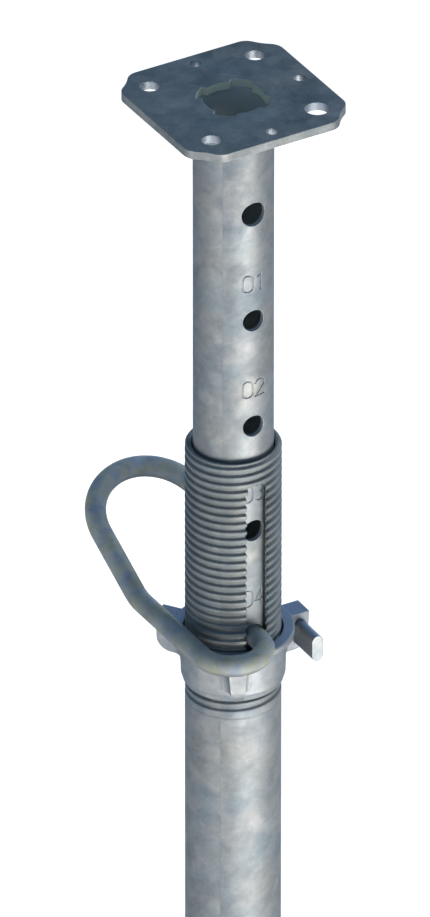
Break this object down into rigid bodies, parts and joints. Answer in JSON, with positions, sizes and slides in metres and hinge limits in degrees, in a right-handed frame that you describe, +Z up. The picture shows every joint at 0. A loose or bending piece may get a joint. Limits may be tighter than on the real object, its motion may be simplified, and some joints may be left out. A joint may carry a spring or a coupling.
{
  "type": "adjustable steel prop",
  "caption": "Telescopic galvanised steel prop with slotted, threaded outer tube, numbered inner tube, cast lug nut and bent-bar pin hook, square plates welded at foot and head.",
  "frame": {"origin": "centre of the base plate's underside, on the tube axis", "axes": "+Z up the prop, -Y towards the side where the hook's pin enters, X and Y along the plate edges"},
  "size_m": [0.143, 0.2428, 1.178],
  "materials": {
    "tube": "hot-dip galvanised, cloudy matt zinc",
    "plate": "hot-dip galvanised, cloudy matt zinc",
    "weld": "galvanised over a rippled bead",
    "casting": "galvanised ductile casting",
    "bar": "galvanised round bar"
  },
  "bodies": {
    "outer": {"base_plate": "plate", "base_weld": "weld", "outer_tube": "tube"},
    "inner": {"inner_tube": "tube", "head_plate": "plate", "head_weld": "weld"},
    "nut": {"adjusting_nut": "casting"},
    "hook": {"g_hook": "bar"}
  },
  "joints": [
    {"name": "height_adjust", "type": "slide", "parent": "outer", "child": "inner", "axis": [0, 0, 1], "range_m": [-0.014, 0.13]},
    {"name": "nut_turn", "type": "hinge", "parent": "inner", "child": "nut", "pos_m": [0, 0, 0.675], "axis": [0, 0, 1], "range_deg": [-700, 6480]},
    {"name": "hook_pull", "type": "slide", "parent": "inner", "child": "hook", "axis": [0, -1, 0], "range_m": [0, 0.082]}
  ],
  "couplings": [
    {"joint": "height_adjust", "follows": "nut_turn", "m_per_rad": 0.0011459}
  ]
}
